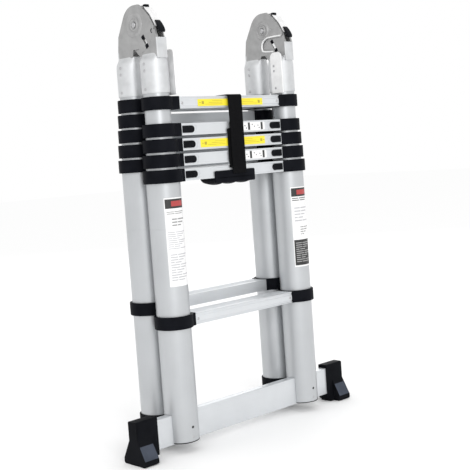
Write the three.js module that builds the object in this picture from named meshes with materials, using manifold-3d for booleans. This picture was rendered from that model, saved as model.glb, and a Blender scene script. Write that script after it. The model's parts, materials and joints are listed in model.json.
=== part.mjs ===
// A telescoping A-frame ladder, folded shut and collapsed. Millimetres, +Z up, front towards -Y.
// Origin: middle of the footprint, on the floor.
import * as THREE from "three";
import { mergeVertices } from "three/addons/utils/BufferGeometryUtils.js";
import Module from "manifold-3d";

const wasm = await Module();
wasm.setup();

// Gaps
const GAP = 0.4; // between nested tubes, and between any two pieces that meet
const OVERSHOOT = 1; // how far a cutting tool runs past what it cuts

// Stiles
const STILE_X = 180; // half the distance between the two stiles of one half
const STILE_Y = 38; // half the distance between the front and the rear half
const SECTIONS = 5;
const OUTER_RADIUS = 34; // the outermost tube
const RADIUS_STEP = 2; // each tube inside is this much smaller
const WALL = 1.6;
const SIDES = 28; // facets round a tube

// Rungs
const COLLAR_HEIGHT = 26;
const COLLAR_PROUD = 5.3; // collar beyond its tube
const COLLAR_CAP = 2; // lip that covers the tube's end
const COLLAR_FACE = 37.4; // collars are flat where the two halves meet, this far from the axis
const BLOCK_END = 38; // the collar's block ends this far from the stile's axis
const RUNG_DEPTH = 44;
const RUNG_HEIGHT = 24;
const RUNG_WALL = 2;
const LIP_PROUD = 1.5; // edges along the rung's face
const LIP_HEIGHT = 3.5;
const DRAIN_RADIUS = 3;
const DRAIN_X = 60;
const RUNG_FRONT = -STILE_Y - RUNG_DEPTH / 2 - LIP_PROUD;

// Heights of the collars' tops when collapsed
const PITCH = 30;
const FRONT_LOWEST = 566; // collar on the outermost tube
const REAR_LOWEST = 590;
const FRONT_TOP = 709; // fixed rung on the innermost tube
const REAR_TOP = 710;
const FRONT_MIDDLE = 276; // fixed rung half way up the outermost tube
const REAR_MIDDLE = 300;
const TRAVEL = 260; // one section's slide
const FRONT_LAST_TRAVEL = 237;
const LEAST_OVERLAP = 56; // of two neighbouring tubes at full length

// Release buttons
const BUTTON_FROM_STILE = 40.5; // button's outer end, from the stile's axis
const BUTTON_LENGTH = 31;
const BUTTON_HEIGHT = 14;
const BUTTON_PROUD = 3;
const BUTTON_TRAVEL = 6;
const STEM_INSET = 3.4; // the stem starts this far in from the thumb piece's outer end
const STEM_LENGTH = 12;
const STEM_HEIGHT = 8;
const PIN_RADIUS = 4;
const PIN_HOLE_RADIUS = 4.6;
const PIN_SIDES = 12;
const WINDOW_PLAY = 1; // clear space at each end of the stem's travel

// Base
const BEAM_HALF_LENGTH = 298;
const BEAM_DEPTH = 19;
const BEAM_BOTTOM = 18;
const BEAM_TOP = 78;
const BEAM_WALL = 2;
const FRONT_TUBE_BOTTOM = 22;
const FOOT_INNER_X = 252;
const FOOT_OUTER_X = 305;
const FOOT_DEPTH = 25;
const FOOT_TOP = 86;
const FOOT_BASE = 12; // thickness of the sole
const SOLE_PROUD = 6; // sole beyond the sleeve, front and back
const FLARE_TOP = 44;
const FLARE_DEPTH = 66;
const FLARE_INNER_X = 277;
const CAP_HEIGHT = 68;
const CAP_RADIUS = 37.2;
const CAP_SOLE = 12;

// Hinges: layers are distances from the hinge's middle plane
const PIVOT_Z = 854;
const DISC_RADIUS = 38.5;
const DISC_STEPS = 14;
const SLEEVE_RADIUS = 27.8;
const SLEEVE_BOTTOM = 716;
const SLEEVE_TOP = 780;
const SHOULDER_TOP = 794;
const SHOULDER_HALF_DEPTH = 25;
const INNER_TUBE_TOP = 774;
const OUTER_LAYER = [9.9, 12.1]; // rear bracket
const INNER_LAYER = [7.2, 9.4]; // front bracket
const SWING_RADIUS = 60; // the rear bracket's front part stays inside this circle
const LEG_BOTTOM = 786;
const REAR_LEG = [
  [13, LEG_BOTTOM],
  [58, LEG_BOTTOM],
  [58.5, 805],
  [54, 837],
  [42, 857],
];
const NOSE = [
  [-56, 850],
  [-46, 866],
  [-31, 881],
  [-14, 892.4],
];
const FRONT_LEG = [
  [-13, LEG_BOTTOM],
  [-66, LEG_BOTTOM],
  [-66, 823],
  [-59.5, 845],
  ...NOSE,
];
// Parts of the front bracket that stand level with the rear bracket, beyond its swing
const OUTBOARD_PANEL = [
  [-13, LEG_BOTTOM],
  [-66, LEG_BOTTOM],
  [-66, 823],
  [-61.5, 838],
  [-13, 838],
];
const INBOARD_PANEL = [
  [-13, LEG_BOTTOM],
  [-61, LEG_BOTTOM],
  [-60, 793],
  [-47, 802.5],
  [-13, 805],
];
// Opening in the rear bracket's plate on the side of the rungs
const MOUTH = [
  [4, 820],
  [1, 829],
  [-7, 835],
  [-17, 838],
  [-66, 837],
  [-66, 795],
  [-47, 804],
  [0, 808],
  [3, 812],
];
// Below this, the rear bracket's plates are cut away between the two stiles
const ARCH_HALF_WIDTH = 12.6;
const OUTBOARD_ARCH = 806;
const INBOARD_ARCH = 799;
const WEB = 2.4;
const WEB_TOP = 823;
const REAR_WEB_TOP = 806;
const RIVET_RADIUS = 5;
const RIVET_HEAD = 2;
const BOSS_RADIUS = 15;
const BOSS_PROUD = 1.5;
const BOSS_SIDES = 20;
const SLOT = { fromY: -23.5, fromZ: 829.5, toY: -37.5, toZ: 806, width: 8 };
const BRACE = { near: 26.4, thick: 2.6, fromY: -31, toY: 6, bottom: 712, top: 796 };

// Lock lever, in the plane across the hinge: points run down the hinge's front edge
const LEVER_HALF_WIDTH = 9.4;
const LEVER_WALL = 2;
const LEVER_PIN = { y: -27, z: 864, radius: 2.5 };
const LEVER_FACE = [
  [-29.5, 886],
  [-34.2, 884],
  [-49, 868.5],
  [-58.8, 852.5],
  [-62.5, 844],
  [-60.6, 846],
  [-57, 852],
  [-47.4, 867.2],
  [-33, 881.8],
];
const PAD_HALF_WIDTH = 7.5;
const LEVER_PAD = [
  [-59.5, 854],
  [-65, 850],
  [-69.5, 843.5],
  [-73, 836],
  [-71.5, 831.5],
  [-69, 832],
  [-65.5, 838],
  [-61.5, 845.5],
];
const LEVER_CHEEK = [
  [-33, 883.5],
  [-48.2, 868],
  [-58, 852.3],
  [-50, 848],
  [-28, 856],
  [-21, 863],
  [-24, 874],
];

// Carry strap and grip
const STRAP_X = 5;
const STRAP_HALF_WIDTH = 19;
const STRAP_THICK = 2.4;
const STRAP_GAP = 0.5;
const STRAP_BOTTOM = 546;
const STRAP_BACK_BOTTOM = 690;
const GRIP = { left: -63, right: 51, top: 555, floor: 527, back: -14 };
const GRIP_WALL = 3;
const GRIP_WAVE = 4; // depth of each finger hollow
const GRIP_FINGERS = 3;
const GRIPPED_RUNG = "front_rung_1";

const SIDE_NAMES = [
  ["left", -1],
  ["right", 1],
];
const MATERIALS = {
  aluminium: new THREE.MeshStandardMaterial({ color: 0xc9cccf, metalness: 0.9, roughness: 0.35 }),
  steel: new THREE.MeshStandardMaterial({ color: 0xb4b7ba, metalness: 0.9, roughness: 0.4 }),
  plastic: new THREE.MeshStandardMaterial({ color: 0x16171a, metalness: 0, roughness: 0.6 }),
  rubber: new THREE.MeshStandardMaterial({ color: 0x1b1c1f, metalness: 0, roughness: 0.85 }),
  webbing: new THREE.MeshStandardMaterial({ color: 0x121214, metalness: 0, roughness: 0.9 }),
};

const ladder = new THREE.Group();
ladder.name = "ladder";

// Solids -------------------------------------------------------------------------------------

function solid(geometry) {
  const bare = geometry.index ? geometry.toNonIndexed() : geometry.clone();
  bare.deleteAttribute("normal");
  bare.deleteAttribute("uv");
  const merged = mergeVertices(bare, 1e-3);
  return new wasm.Manifold(
    new wasm.Mesh({
      numProp: 3,
      vertProperties: new Float32Array(merged.attributes.position.array),
      triVerts: new Uint32Array(merged.index.array),
    }),
  );
}

function addPiece(name, made, material) {
  const mesh = made.getMesh();
  const geometry = new THREE.BufferGeometry();
  geometry.setAttribute("position", new THREE.BufferAttribute(mesh.vertProperties, 3));
  geometry.setIndex(new THREE.BufferAttribute(mesh.triVerts, 1));
  geometry.computeVertexNormals();
  const piece = new THREE.Mesh(geometry, MATERIALS[material]);
  piece.name = name;
  ladder.add(piece);
}

function box(fromX, toX, fromY, toY, fromZ, toZ) {
  const geometry = new THREE.BoxGeometry(
    Math.abs(toX - fromX),
    Math.abs(toY - fromY),
    Math.abs(toZ - fromZ),
  );
  geometry.translate((fromX + toX) / 2, (fromY + toY) / 2, (fromZ + toZ) / 2);
  return solid(geometry);
}

function upright(x, y, radius, bottom, top, sides = SIDES) {
  const geometry = new THREE.CylinderGeometry(radius, radius, top - bottom, sides);
  geometry.rotateX(Math.PI / 2);
  geometry.translate(x, y, (bottom + top) / 2);
  return solid(geometry);
}

// A cylinder along X.
function crosswise(fromX, toX, y, z, radius, sides = PIN_SIDES) {
  const geometry = new THREE.CylinderGeometry(radius, radius, Math.abs(toX - fromX), sides);
  geometry.rotateZ(Math.PI / 2);
  geometry.translate((fromX + toX) / 2, y, z);
  return solid(geometry);
}

// A flat outline of [y, z] points, thickened along X.
function plate(fromX, toX, outline) {
  const shape = new THREE.Shape(outline.map(([y, z]) => new THREE.Vector2(y, z)));
  const depth = Math.abs(toX - fromX);
  const geometry = new THREE.ExtrudeGeometry(shape, { depth, bevelEnabled: false });
  geometry.rotateX(Math.PI / 2);
  geometry.rotateZ(Math.PI / 2);
  geometry.translate(Math.min(fromX, toX), 0, 0);
  return solid(geometry);
}

// A flat outline of [x, z] points, thickened along Y.
function panel(fromY, toY, outline) {
  const shape = new THREE.Shape(outline.map(([x, z]) => new THREE.Vector2(x, z)));
  const geometry = new THREE.ExtrudeGeometry(shape, { depth: toY - fromY, bevelEnabled: false });
  geometry.rotateX(Math.PI / 2);
  geometry.translate(0, toY, 0);
  return solid(geometry);
}

function joined(pieces) {
  return pieces.reduce((whole, piece) => whole.add(piece));
}

function cut(whole, tools) {
  return tools.reduce((left, tool) => left.subtract(tool), whole);
}

// Both halves ----------------------------------------------------------------------------------

// `out` is the direction away from the other half: -1 at the front, 1 at the rear.
const HALVES = [
  { name: "front", out: -1, lowest: FRONT_LOWEST, top: FRONT_TOP, middle: FRONT_MIDDLE },
  { name: "rear", out: 1, lowest: REAR_LOWEST, top: REAR_TOP, middle: REAR_MIDDLE },
];

function tubeRadius(section) {
  return OUTER_RADIUS - RADIUS_STEP * (section - 1);
}

// Section 1 is the outermost. Its collar is the lowest.
function collarTop(half, section) {
  return section === SECTIONS ? half.top : half.lowest + PITCH * (section - 1);
}

function tubeTop(half, section) {
  return section === SECTIONS ? INNER_TUBE_TOP : collarTop(half, section) - COLLAR_CAP - GAP;
}

function tubeBottom(half, section) {
  if (section === 1) {
    return half.out < 0 ? FRONT_TUBE_BOTTOM : CAP_SOLE + GAP;
  }
  const holderTop = tubeTop(half, section - 1);
  return holderTop - travelInto(half, section) - LEAST_OVERLAP;
}

// How far a section slides out of the one that holds it.
function travelInto(half, section) {
  return half.out < 0 && section === SECTIONS ? FRONT_LAST_TRAVEL : TRAVEL;
}

function pinHeight(half, section) {
  return collarTop(half, section) - COLLAR_HEIGHT / 2;
}

function addTube(half, section, sideName, side) {
  const radius = tubeRadius(section);
  const x = side * STILE_X;
  const y = half.out * STILE_Y;
  const bottom = tubeBottom(half, section);
  const top = tubeTop(half, section);
  const tools = [upright(x, y, radius - WALL, bottom - OVERSHOOT, top + OVERSHOOT)];
  const inward = (distance) => x - side * distance;
  if (section < SECTIONS) {
    // the pin of this section's button passes here
    const height = pinHeight(half, section);
    tools.push(crosswise(inward(0), inward(radius + OVERSHOOT), y, height, PIN_HOLE_RADIUS));
  }
  if (section > 1) {
    // the holder's pin locks here at full length
    const height = pinHeight(half, section - 1) - travelInto(half, section);
    tools.push(crosswise(inward(0), inward(radius + OVERSHOOT), y, height, PIN_HOLE_RADIUS));
  }
  if (section === 1 && half.out < 0) {
    const reach = radius + OVERSHOOT;
    const half_depth = BEAM_DEPTH / 2 + GAP;
    tools.push(box(x - reach, x + reach, y - half_depth, y + half_depth, 0, BEAM_TOP + GAP));
  }
  const made = cut(upright(x, y, radius, bottom, top), tools);
  addPiece(`${half.name}_tube_${section}_${sideName}`, made, "aluminium");
}

// The rung's bar, with a lip along each edge of its face.
function rungBar(y, out, bottom) {
  const reach = STILE_X - BLOCK_END + OVERSHOOT;
  const top = bottom + RUNG_HEIGHT;
  const back = y - (out * RUNG_DEPTH) / 2;
  const face = y + (out * RUNG_DEPTH) / 2;
  const proud = face + out * LIP_PROUD;
  return joined([
    box(-reach, reach, back, face, bottom, top),
    box(-reach, reach, back, proud, bottom, bottom + LIP_HEIGHT),
    box(-reach, reach, back, proud, top - LIP_HEIGHT, top),
  ]);
}

function hollowOf(y, bottom) {
  const reach = STILE_X - BLOCK_END - OVERSHOOT;
  const half_depth = RUNG_DEPTH / 2 - RUNG_WALL;
  return box(
    -reach,
    reach,
    y - half_depth,
    y + half_depth,
    bottom + RUNG_WALL,
    bottom + RUNG_HEIGHT - RUNG_WALL,
  );
}

function collar(x, y, side, radius, top) {
  const bottom = top - COLLAR_HEIGHT;
  const blockFrom = x - side * (radius * Math.SQRT1_2);
  const blockTo = side * (STILE_X - BLOCK_END);
  const half_depth = RUNG_DEPTH / 2 + LIP_PROUD + OVERSHOOT;
  return joined([
    upright(x, y, radius + COLLAR_PROUD, bottom, top),
    box(blockFrom, blockTo, y - half_depth, y + half_depth, bottom, top),
  ]);
}

// What the tubes need cut from a collar.
function bores(x, y, section, top, capped) {
  const radius = tubeRadius(section) + GAP;
  const bottom = top - COLLAR_HEIGHT - OVERSHOOT;
  if (!capped) {
    return [upright(x, y, radius, bottom, top + OVERSHOOT)];
  }
  const inner = tubeRadius(section + 1) + GAP;
  return [
    upright(x, y, radius, bottom, top - COLLAR_CAP),
    upright(x, y, inner, bottom, top + OVERSHOOT),
  ];
}

function windowOf(side, y, out, height) {
  const outerEnd = side * (STILE_X - BUTTON_FROM_STILE - STEM_INSET + WINDOW_PLAY);
  const innerEnd = outerEnd - side * (STEM_LENGTH + BUTTON_TRAVEL + 2 * WINDOW_PLAY);
  const face = y + out * (RUNG_DEPTH / 2 + OVERSHOOT);
  const inside = y + out * (RUNG_DEPTH / 2 - RUNG_WALL - OVERSHOOT);
  const half_height = STEM_HEIGHT / 2 + GAP;
  return box(outerEnd, innerEnd, inside, face, height - half_height, height + half_height);
}

function addRung(half, name, section, top, kind) {
  const y = half.out * STILE_Y;
  const bottom = top - (COLLAR_HEIGHT + RUNG_HEIGHT) / 2;
  const pieces = [rungBar(y, half.out, bottom)];
  if (name === GRIPPED_RUNG) {
    pieces.push(gripOf());
  }
  const tools = [hollowOf(y, bottom)];
  for (const [, side] of SIDE_NAMES) {
    const x = side * STILE_X;
    pieces.push(collar(x, y, side, tubeRadius(section), top));
    tools.push(...bores(x, y, section, top, kind === "button"));
    if (kind === "button") {
      const height = pinHeight(half, section);
      const hollowEnd = side * (STILE_X - BLOCK_END - 2 * OVERSHOOT);
      tools.push(crosswise(x, hollowEnd, y, height, PIN_HOLE_RADIUS));
      tools.push(windowOf(side, y, half.out, height));
    } else {
      const floor = bottom + RUNG_WALL + OVERSHOOT;
      tools.push(upright(side * DRAIN_X, y, DRAIN_RADIUS, bottom - OVERSHOOT, floor, PIN_SIDES));
    }
  }
  const far = STILE_X * 2;
  const flat = half.out * (STILE_Y - COLLAR_FACE);
  tools.push(box(-far, far, flat, -half.out * far, 0, PIVOT_Z));
  addPiece(name, cut(joined(pieces), tools), "aluminium");
}

// A thumb slider and its lock pin: one moulding.
function addButton(half, section, sideName, side) {
  const y = half.out * STILE_Y;
  const height = pinHeight(half, section);
  const face = y + half.out * (RUNG_DEPTH / 2 + GAP);
  const outside = face + half.out * BUTTON_PROUD;
  const outerEnd = side * (STILE_X - BUTTON_FROM_STILE);
  const round = BUTTON_HEIGHT / 2;
  const innerEnd = outerEnd - side * (BUTTON_LENGTH - round);
  const stemOuter = outerEnd - side * STEM_INSET;
  const stemInner = stemOuter - side * STEM_LENGTH;
  const tip = side * (STILE_X - tubeRadius(section + 1) - GAP);
  const thumb = new THREE.CylinderGeometry(round, round, BUTTON_PROUD, PIN_SIDES * 2);
  thumb.translate(innerEnd, (face + outside) / 2, height);
  const half_stem = STEM_HEIGHT / 2;
  const made = joined([
    box(outerEnd, innerEnd, face, outside, height - round, height + round),
    solid(thumb),
    box(stemOuter, stemInner, y - half.out * half_stem, face, height - half_stem, height + half_stem),
    crosswise(tip, stemOuter - side * OVERSHOOT, y, height, PIN_RADIUS),
  ]);
  addPiece(`${half.name}_button_${section}_${sideName}`, made, "plastic");
}

// Base -----------------------------------------------------------------------------------------

function addBeam() {
  const half_depth = BEAM_DEPTH / 2;
  const inner = half_depth - BEAM_WALL;
  const reach = BEAM_HALF_LENGTH;
  const bar = box(-reach, reach, -STILE_Y - half_depth, -STILE_Y + half_depth, BEAM_BOTTOM, BEAM_TOP);
  const hollow = box(
    -reach - OVERSHOOT,
    reach + OVERSHOOT,
    -STILE_Y - inner,
    -STILE_Y + inner,
    BEAM_BOTTOM + BEAM_WALL,
    BEAM_TOP - BEAM_WALL,
  );
  addPiece("stabiliser_beam", cut(bar, [hollow]), "aluminium");
}

function addBeamFoot(sideName, side) {
  const inner = side * FOOT_INNER_X;
  const outer = side * FOOT_OUTER_X;
  const front = -STILE_Y - FOOT_DEPTH / 2;
  const back = -STILE_Y + FOOT_DEPTH / 2;
  const flareFront = -STILE_Y - FLARE_DEPTH / 2;
  const flareBack = -STILE_Y + FLARE_DEPTH / 2;
  const wedge = [
    [flareFront, 0],
    [flareBack, 0],
    [flareBack, FOOT_BASE],
    [back, FLARE_TOP],
    [front, FLARE_TOP],
    [flareFront, FOOT_BASE],
  ];
  const sole = [
    [front - SOLE_PROUD, 0],
    [back + SOLE_PROUD, 0],
    [back, FOOT_BASE],
    [front, FOOT_BASE],
  ];
  const socket = box(
    inner - side * OVERSHOOT,
    side * (BEAM_HALF_LENGTH + GAP),
    -STILE_Y - BEAM_DEPTH / 2 - GAP,
    -STILE_Y + BEAM_DEPTH / 2 + GAP,
    BEAM_BOTTOM - GAP,
    BEAM_TOP + GAP,
  );
  const sleeve = joined([
    box(inner, outer, front, back, 0, FOOT_TOP),
    plate(inner, outer, sole),
    plate(side * FLARE_INNER_X, outer, wedge),
  ]);
  addPiece(`beam_foot_${sideName}`, cut(sleeve, [socket]), "rubber");
}

function addFootCap(sideName, side) {
  const x = side * STILE_X;
  const tube = OUTER_RADIUS + GAP;
  const made = cut(upright(x, STILE_Y, CAP_RADIUS, 0, CAP_HEIGHT), [
    upright(x, STILE_Y, tube, CAP_SOLE, CAP_HEIGHT + OVERSHOOT),
  ]);
  const far = OUTER_RADIUS * 2;
  const flat = box(x - far, x + far, -STILE_Y, STILE_Y - COLLAR_FACE, -OVERSHOOT, PIVOT_Z);
  addPiece(`rear_foot_cap_${sideName}`, cut(made, [flat]), "rubber");
}

// Hinges ---------------------------------------------------------------------------------------

// The disc about the pivot.
function discOutline() {
  const points = [];
  for (let i = 0; i < DISC_STEPS * 2; i += 1) {
    const angle = (Math.PI * i) / DISC_STEPS;
    points.push([DISC_RADIUS * Math.cos(angle), PIVOT_Z + DISC_RADIUS * Math.sin(angle)]);
  }
  return points;
}

// A disc run into a leg that goes down to the stile, on one side of the hinge.
function bracketPlate(x, way, layer, leg) {
  const from = x + way * layer[0];
  const to = x + way * layer[1];
  return wasm.Manifold.hull([plate(from, to, discOutline()), plate(from, to, leg)]);
}

// The part of the rear bracket's plate ahead of the disc.
function nosePlate(x, way) {
  const from = x + way * OUTER_LAYER[0];
  const to = x + way * OUTER_LAYER[1];
  const swing = crosswise(from, to, 0, PIVOT_Z, SWING_RADIUS, SIDES * 2);
  const below = box(from, to, -SWING_RADIUS, REAR_LEG[0][0], PIVOT_Z - SWING_RADIUS, PIVOT_Z);
  const top = wasm.Manifold.hull([plate(from, to, discOutline()), plate(from, to, NOSE)]);
  return top.add(swing.intersect(below));
}

// The socket round the inner tube's end, and the shoulder that narrows to the plates.
function socketOf(x, y) {
  const inside = tubeRadius(SECTIONS) + GAP;
  const reach = OUTER_LAYER[1];
  const deep = SHOULDER_HALF_DEPTH;
  const socket = cut(upright(x, y, SLEEVE_RADIUS, SLEEVE_BOTTOM, SLEEVE_TOP), [
    upright(x, y, inside, SLEEVE_BOTTOM - OVERSHOOT, SLEEVE_TOP - OVERSHOOT),
  ]);
  const shoulder = wasm.Manifold.hull([
    upright(x, y, SLEEVE_RADIUS, SLEEVE_TOP - OVERSHOOT, SLEEVE_TOP),
    box(x - reach, x + reach, y - deep, y + deep, SHOULDER_TOP - OVERSHOOT, SHOULDER_TOP),
  ]);
  return [socket, shoulder];
}

// The outer bracket, with the pivot's boss and rivet.
function addRearBracket(sideName, side) {
  const x = side * STILE_X;
  const reach = OUTER_LAYER[1];
  const mouth = plate(x - side * OUTER_LAYER[0], x - side * (reach + OVERSHOOT), MOUTH);
  const outboard = nosePlate(x, side).add(bracketPlate(x, side, OUTER_LAYER, REAR_LEG));
  const inboard = nosePlate(x, -side).add(bracketPlate(x, -side, OUTER_LAYER, REAR_LEG));
  const pieces = [
    ...socketOf(x, STILE_Y),
    outboard.subtract(archTool(x, OUTBOARD_ARCH)),
    inboard.subtract(mouth).subtract(archTool(x, INBOARD_ARCH)),
  ];
  const edge = REAR_LEG[1][0];
  pieces.push(box(x - reach, x + reach, edge - WEB, edge, LEG_BOTTOM, REAR_WEB_TOP));
  const boss = reach + BOSS_PROUD;
  pieces.push(crosswise(x - boss, x - reach + OVERSHOOT, 0, PIVOT_Z, BOSS_RADIUS, BOSS_SIDES));
  pieces.push(crosswise(x + boss, x + reach - OVERSHOOT, 0, PIVOT_Z, BOSS_RADIUS, BOSS_SIDES));
  const rivet = boss + RIVET_HEAD;
  pieces.push(crosswise(x - rivet, x + rivet, 0, PIVOT_Z, RIVET_RADIUS));
  addPiece(`rear_hinge_bracket_${sideName}`, cut(joined(pieces), [slotTool(x)]), "steel");
}

function archTool(x, top) {
  const reach = OUTER_LAYER[1] + OVERSHOOT;
  return box(x - reach, x + reach, -ARCH_HALF_WIDTH, ARCH_HALF_WIDTH, PIVOT_Z - 2 * SWING_RADIUS, top);
}

// The inner bracket. Below the disc its panels step out level with the outer bracket's plates.
function addFrontBracket(sideName, side) {
  const x = side * STILE_X;
  const [near, reach] = [INNER_LAYER[0], OUTER_LAYER[1]];
  const through = reach + OVERSHOOT;
  const swing = crosswise(x - through, x + through, 0, PIVOT_Z, SWING_RADIUS + GAP, SIDES * 2);
  const panels = [
    plate(x + side * near, x + side * reach, OUTBOARD_PANEL),
    plate(x - side * near, x - side * reach, INBOARD_PANEL),
  ];
  const edge = FRONT_LEG[1][0];
  const web = box(x - reach, x + reach, edge, edge + WEB, LEG_BOTTOM, WEB_TOP);
  const braceNear = x - side * BRACE.near;
  const braceFar = braceNear - side * BRACE.thick;
  const [braceFrom, braceTo] = [BRACE.fromY - STILE_Y, BRACE.toY - STILE_Y];
  const pieces = [
    ...socketOf(x, -STILE_Y),
    bracketPlate(x, side, INNER_LAYER, FRONT_LEG),
    bracketPlate(x, -side, INNER_LAYER, FRONT_LEG),
    ...panels.map((panel) => panel.subtract(swing)),
    web,
    box(braceNear, braceFar, braceFrom, braceTo, BRACE.bottom, BRACE.top),
  ];
  const tools = [
    slotTool(x),
    crosswise(x - through, x + through, 0, PIVOT_Z, RIVET_RADIUS + GAP),
    crosswise(x - through, x + through, LEVER_PIN.y, LEVER_PIN.z, LEVER_PIN.radius + GAP),
  ];
  addPiece(`front_hinge_bracket_${sideName}`, cut(joined(pieces), tools), "steel");
}

// The lock slot, which lines up in both brackets when the ladder is folded.
function slotTool(x) {
  const length = Math.hypot(SLOT.toY - SLOT.fromY, SLOT.toZ - SLOT.fromZ);
  const geometry = new THREE.BoxGeometry(2 * OUTER_LAYER[1] + OVERSHOOT, SLOT.width, length);
  geometry.rotateX(-Math.atan2(SLOT.toY - SLOT.fromY, SLOT.toZ - SLOT.fromZ));
  geometry.translate(x, (SLOT.fromY + SLOT.toY) / 2, (SLOT.fromZ + SLOT.toZ) / 2);
  return solid(geometry);
}

// A face along the hinge's front edge, a thumb pad, two cheeks behind them and the pin it turns on.
function addLever(sideName, side) {
  const x = side * STILE_X;
  const half_width = LEVER_HALF_WIDTH;
  const cheekOut = INNER_LAYER[0] - GAP;
  const cheekIn = cheekOut - LEVER_WALL;
  const pinReach = INNER_LAYER[1] - GAP;
  const made = joined([
    plate(x - half_width, x + half_width, LEVER_FACE),
    plate(x - PAD_HALF_WIDTH, x + PAD_HALF_WIDTH, LEVER_PAD),
    plate(x - cheekOut, x - cheekIn, LEVER_CHEEK),
    plate(x + cheekIn, x + cheekOut, LEVER_CHEEK),
    crosswise(x - pinReach, x + pinReach, LEVER_PIN.y, LEVER_PIN.z, LEVER_PIN.radius),
  ]);
  addPiece(`hinge_lever_${sideName}`, made, "steel");
}

// Carry strap and grip --------------------------------------------------------------------------

// Webbing hooked over the top rung. It hangs in front of the others, down to the grip.
function addStrap() {
  const rungTop = FRONT_TOP - (COLLAR_HEIGHT - RUNG_HEIGHT) / 2 + STRAP_GAP;
  const left = STRAP_X - STRAP_HALF_WIDTH;
  const right = STRAP_X + STRAP_HALF_WIDTH;
  const faceY = RUNG_FRONT - GRIP_WALL - STRAP_GAP;
  const backY = -STILE_Y + RUNG_DEPTH / 2 + STRAP_GAP;
  const front = faceY - STRAP_THICK;
  const back = backY + STRAP_THICK;
  const topZ = rungTop + STRAP_THICK;
  const made = joined([
    box(left, right, front, faceY, STRAP_BOTTOM, topZ),
    box(left, right, front, back, rungTop, topZ),
    box(left, right, backY, back, STRAP_BACK_BOTTOM, topZ),
  ]);
  addPiece("carry_strap", made, "webbing");
}

// A moulded grip round the lowest front rung's front and underside.
function gripOf() {
  const rungBottom = FRONT_LOWEST - (COLLAR_HEIGHT + RUNG_HEIGHT) / 2;
  const front = RUNG_FRONT - GRIP_WALL;
  const face = box(GRIP.left, GRIP.right, front, RUNG_FRONT + OVERSHOOT, GRIP.floor + GRIP_WAVE, GRIP.top);
  const outline = [
    [GRIP.right, rungBottom + OVERSHOOT],
    [GRIP.left, rungBottom + OVERSHOOT],
  ];
  const steps = GRIP_FINGERS * 8;
  for (let i = 0; i <= steps; i += 1) {
    const along = i / steps;
    const rise = (1 - Math.cos(along * GRIP_FINGERS * 2 * Math.PI)) / 2;
    outline.push([GRIP.left + (GRIP.right - GRIP.left) * along, GRIP.floor + GRIP_WAVE * rise]);
  }
  return face.add(panel(front, GRIP.back, outline));
}

// Assembly -------------------------------------------------------------------------------------

for (const half of HALVES) {
  addRung(half, `${half.name}_rung_0`, 1, half.middle, "fixed");
  for (let section = 1; section <= SECTIONS; section += 1) {
    const kind = section === SECTIONS ? "fixed" : "button";
    addRung(half, `${half.name}_rung_${section}`, section, collarTop(half, section), kind);
    for (const [sideName, side] of SIDE_NAMES) {
      addTube(half, section, sideName, side);
      if (kind === "button") {
        addButton(half, section, sideName, side);
      }
    }
  }
}
addBeam();
addStrap();
for (const [sideName, side] of SIDE_NAMES) {
  addBeamFoot(sideName, side);
  addFootCap(sideName, side);
  addFrontBracket(sideName, side);
  addRearBracket(sideName, side);
  addLever(sideName, side);
}

export default ladder;
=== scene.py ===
"""A telescoping A-frame ladder, folded and collapsed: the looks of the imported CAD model."""

import json
import math

import bmesh
import bpy
from mathutils import Matrix, Vector
from mathutils.geometry import convex_hull_2d

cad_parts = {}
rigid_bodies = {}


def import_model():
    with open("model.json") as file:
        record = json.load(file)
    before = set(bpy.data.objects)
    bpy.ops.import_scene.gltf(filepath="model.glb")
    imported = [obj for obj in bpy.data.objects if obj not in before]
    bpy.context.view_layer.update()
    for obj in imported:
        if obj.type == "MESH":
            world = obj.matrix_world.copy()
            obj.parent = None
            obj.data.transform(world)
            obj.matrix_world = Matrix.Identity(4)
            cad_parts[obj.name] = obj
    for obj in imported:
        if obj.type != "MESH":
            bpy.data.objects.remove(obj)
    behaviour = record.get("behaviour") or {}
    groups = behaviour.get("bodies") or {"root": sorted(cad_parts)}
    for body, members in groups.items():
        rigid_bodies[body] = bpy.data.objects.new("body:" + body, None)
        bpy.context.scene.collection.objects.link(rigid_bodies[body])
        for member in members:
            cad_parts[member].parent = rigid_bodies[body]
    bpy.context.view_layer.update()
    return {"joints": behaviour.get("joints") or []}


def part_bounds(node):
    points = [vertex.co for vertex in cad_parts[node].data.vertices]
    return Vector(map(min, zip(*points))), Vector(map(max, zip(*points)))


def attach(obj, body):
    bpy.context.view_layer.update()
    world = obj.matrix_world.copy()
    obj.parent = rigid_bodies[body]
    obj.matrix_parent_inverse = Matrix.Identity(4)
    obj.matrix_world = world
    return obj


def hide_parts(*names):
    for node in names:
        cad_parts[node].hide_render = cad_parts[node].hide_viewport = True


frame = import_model()

# Driving dimensions, in millimetres and degrees ----
MM = 0.001
SECTIONS = 5
SIDES = {"left": -1, "right": 1}
HALVES = {"front": -1, "rear": 1}  # the direction away from the other half
WAY_LETTER = {-1: "a", 1: "b"}  # the two directions along X, in the names of pieces
GAP = 0.4  # clearance between parts that fit into each other

# Tubes and collars
ROUND = 96  # facets round a tube
TUBE_WALL = 1.6
TUBE_CHAMFER = 0.4
PIN_HOLE_RADIUS = 4.6
TUBE_BEAD = 450
BEAD_HALF_HEIGHT = 0.9
COLLAR_PROUD = 5.3
COLLAR_FACE = 37.4  # flat face towards the other half
COLLAR_HEIGHT = 26
COLLAR_CAP = 2
COLLAR_OVERLAP = 2  # how far a capped collar closes over the tube's edge
BLOCK_END = 38
BLOCK_HALF_DEPTH = 24.5

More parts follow.
